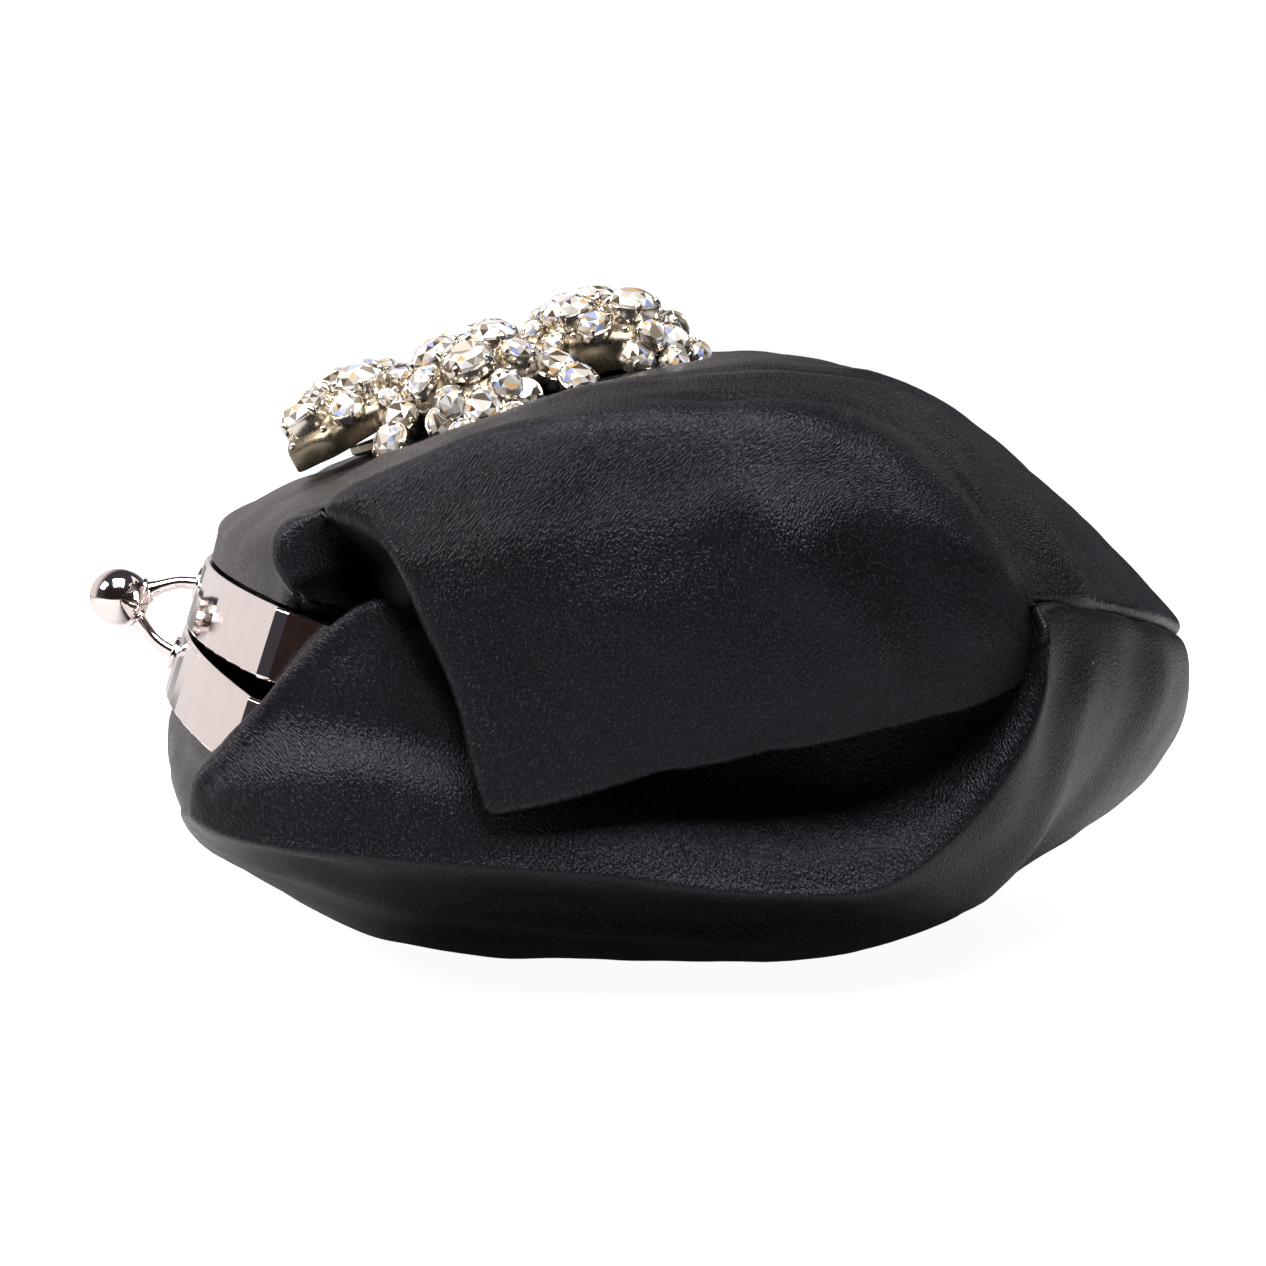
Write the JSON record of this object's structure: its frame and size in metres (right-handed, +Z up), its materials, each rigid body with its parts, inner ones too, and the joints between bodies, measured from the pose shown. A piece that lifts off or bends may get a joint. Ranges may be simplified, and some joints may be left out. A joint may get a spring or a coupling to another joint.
{
  "type": "framed satin evening bag",
  "caption": "Small gathered satin evening bag lying on its back, with a polished kiss-lock frame and a stone-set flower ornament on the front panel.",
  "frame": {"origin": "middle of the flat patch on the back panel's underside that the bag lies on", "axes": "+X along the frame bar (the bag's width), -Y towards the frame and its clasp, +Z up, out of the front panel"},
  "size_m": [0.1884, 0.147, 0.084],
  "materials": {
    "satin": "black duchess satin, soft sheen",
    "lining": "midnight blue lining, matt",
    "nickel": "polished nickel plate",
    "setting": "cast and plated, slightly antiqued",
    "crystal": "cut glass with foiled back",
    "cord": "twisted paper",
    "steel": "plain"
  },
  "bodies": {
    "pouch": {"rear_frame": "nickel", "rear_retaining_cord": "cord", "rear_clasp_stem": "nickel", "rear_clasp_ball": "nickel", "hinge_pin_left": "nickel", "hinge_pin_right": "nickel", "satin_front_panel": "satin", "satin_back_panel": "satin", "satin_gusset_left": "satin", "satin_gusset_right": "satin", "satin_side_fold_left": "satin", "satin_side_fold_right": "satin", "lining_pouch": "lining", "lining_rear_neck": "lining", "inner_pocket": "lining", "ornament_base": "setting", "ornament_middle": "setting", "ornament_petal_1": "setting", "ornament_petal_2": "setting", "ornament_petal_3": "setting", "ornament_petal_4": "setting", "ornament_petal_5": "setting", "ornament_petal_6": "setting", "stone_01": "crystal", "stone_02": "crystal", "stone_03": "crystal", "stone_04": "crystal", "stone_05": "crystal", "stone_06": "crystal", "stone_07": "crystal", "stone_08": "crystal", "stone_09": "crystal", "stone_10": "crystal", "stone_11": "crystal", "stone_12": "crystal", "stone_13": "crystal", "stone_14": "crystal", "stone_15": "crystal", "stone_16": "crystal", "stone_17": "crystal", "stone_18": "crystal", "stone_middle": "crystal", "ornament_backing": "steel", "ornament_post_left": "steel", "ornament_post_right": "steel"},
    "front_half": {"front_frame": "nickel", "front_retaining_cord": "cord", "front_clasp_stem": "nickel", "front_clasp_ball": "nickel", "satin_front_yoke": "satin", "lining_front_neck": "lining"}
  },
  "joints": [
    {"name": "frame_hinge", "type": "hinge", "parent": "pouch", "child": "front_half", "pos_m": [0, -0.02715, 0.02968], "axis": [-1, 0, 0], "range_deg": [0, 36], "deforming": ["satin_front_yoke", "lining_front_neck"]}
  ]
}
